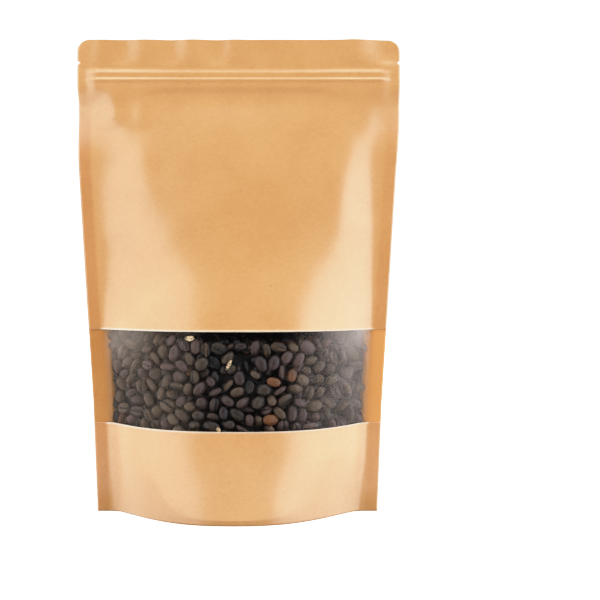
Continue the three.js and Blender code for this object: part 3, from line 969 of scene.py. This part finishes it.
def softbox(name, place, target, width, height, radiance, colour):
    """A soft rectangular lamp that looks from its place at a target, unseen by the camera."""
    lamp = bpy.data.lights.new(name, "AREA")
    lamp.shape = "RECTANGLE"
    lamp.size, lamp.size_y = width, height
    lamp.energy = radiance * np.pi * width * height
    lamp.color = colour
    holder = bpy.data.objects.new(name, lamp)
    holder.location = place
    holder.rotation_euler = (Vector(place) - Vector(target)).to_track_quat("Z", "Y").to_euler()
    holder.visible_camera = False
    bpy.context.collection.objects.link(holder)


def around(azimuth, elevation):
    """A place a metre from the middle of the bag: azimuth is measured from the front towards +X."""
    a, e = np.radians(azimuth), np.radians(elevation)
    return Vector((np.sin(a) * np.cos(e), -np.cos(a) * np.cos(e), np.sin(e))) + MIDDLE


def glowing(name, colour, glow, strength):
    """A matt surface that also glows evenly, for the studio only."""
    material, tree, shader = new_material(name, Roughness=0.9, Emission_Strength=strength)
    shader.inputs["Base Color"].default_value = linear(colour)
    shader.inputs["Emission Color"].default_value = linear(glow)
    return material, tree, shader


def sweep():
    """A white floor, which glows more the further it is from the bag, and a white backdrop all
    round. Only the camera sees them."""
    bpy.ops.mesh.primitive_plane_add(size=6)
    floor = bpy.context.object
    floor.name = "floor"
    white, tree, shader = glowing("matt_white_floor", "#f2f2f2", "#ffffff", 1)
    away = add(tree, "ShaderNodeVectorMath", {0: object_place(tree)}, operation="LENGTH").outputs["Value"]
    connect(tree, shader, Emission_Strength=scaled(tree, away, 0.1, 0.7, NEAR_GLOW, FAR_GLOW))
    floor.data.materials.append(white)
    bpy.ops.mesh.primitive_uv_sphere_add(radius=20, segments=48, ring_count=24)
    backdrop = bpy.context.object
    backdrop.name = "backdrop"
    backdrop.data.materials.append(glowing("white_backdrop", "#000000", "#ffffff", FAR_GLOW)[0])
    for thing in (floor, backdrop):
        thing.visible_diffuse = False
        thing.visible_glossy = False
        thing.visible_transmission = False
        thing.visible_shadow = False


def surroundings():
    """What the bag mirrors between the lamps: a dark room in front and a pale one behind."""
    world = bpy.data.worlds.new("studio")
    bpy.context.scene.world = world
    world.use_nodes = True
    tree = world.node_tree
    tree.nodes.clear()
    way = add(tree, "ShaderNodeTexCoord").outputs["Generated"]
    behind = scaled(tree, parts_of(tree, way)["Y"], -0.1, 0.5)
    colour = mixed(tree, behind, (0.045, 0.07, 0.085, 1), (0.8, 0.8, 0.8, 1))
    light = add(tree, "ShaderNodeBackground", {"Color": colour})
    add(tree, "ShaderNodeOutputWorld", {"Surface": light.outputs[0]})


def studio():
    """A white sweep, broad soft lamps on either side, one above the other, one overhead, one on the
    floor for the light that it throws back, and what is around them."""
    sweep()
    for name, azimuth, elevation, width, height, radiance, colour in LAMPS:
        softbox(name, around(azimuth, elevation), MIDDLE, width, height, radiance, colour)
    softbox("floor_bounce", (0, -0.15, 0.003), (0, -0.15, 1), 0.7, 0.23, 0.5, WARM)
    surroundings()


def camera_response():
    """Keeps colours as they are up to 0.7 and bends brighter ones over to white at WHITE_POINT."""
    view = bpy.context.scene.view_settings
    view.view_transform = "Standard"
    view.use_curve_mapping = True
    curves = view.curve_mapping
    curves.white_level = (WHITE_POINT,) * 3
    curve = curves.curves[3]
    for light, picture in ((0.7, 0.7), (0.98, 0.875)):
        curve.points.new(light / WHITE_POINT, picture)
    for point in curve.points:
        point.handle_type = "VECTOR"
    curves.update()


def camera():
    """Level, in front of the bag, a little right of its middle and at half its height."""
    lens = bpy.data.cameras.new("camera")
    lens.lens, lens.sensor_width, lens.shift_y = FOCAL_LENGTH, SENSOR, SHIFT
    holder = bpy.data.objects.new("camera", lens)
    holder.location = CAMERA_PLACE
    holder.rotation_euler = (np.pi / 2, 0, 0)
    bpy.context.collection.objects.link(holder)
    bpy.context.scene.camera = holder


# ---- The bag ----

camera()
studio()
camera_response()

laminate = [kraft_paper(), kraft_lining(), cut_paper()]
upper_rows = upper_heights(WINDOW_TOP)
upper = paper_panel("kraft_front_upper", upper_rows, FRONT, front_paper, FRONT_FACE, laminate)
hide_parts("front_paper_upper")
lower_rows = np.concatenate([np.linspace(0, WINDOW_FOOT - CURL, 42)[:-1],
                             np.linspace(WINDOW_FOOT - CURL, WINDOW_FOOT, 5)])
lower = paper_panel("kraft_front_lower", lower_rows, FRONT, front_paper, FRONT_FACE, laminate)
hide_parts("front_paper_lower")
back_rows = np.concatenate([np.linspace(0, WINDOW_TOP, 60)[:-1], upper_rows])
back = paper_panel("kraft_back", back_rows, BACK, back_depth, BACK_FACE, laminate)
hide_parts("back_paper")
clear_strip(clear_film())
folded_gusset(laminate)

zip_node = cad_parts["press_zip"]
zip_node.data.materials.clear()
zip_node.data.materials.append(zip_plastic())

skins = [roasted_bean(*looks) for *looks, _ in BEAN_KINDS]
beans(7, skins, [share for *_, share in BEAN_KINDS])
bean_core(beans_in_shadow())
gold = silverskin()
for number, flake in enumerate(FLAKES):
    chaff("silverskin_%d" % number, *flake, seed=60 + 2 * number, material=gold)
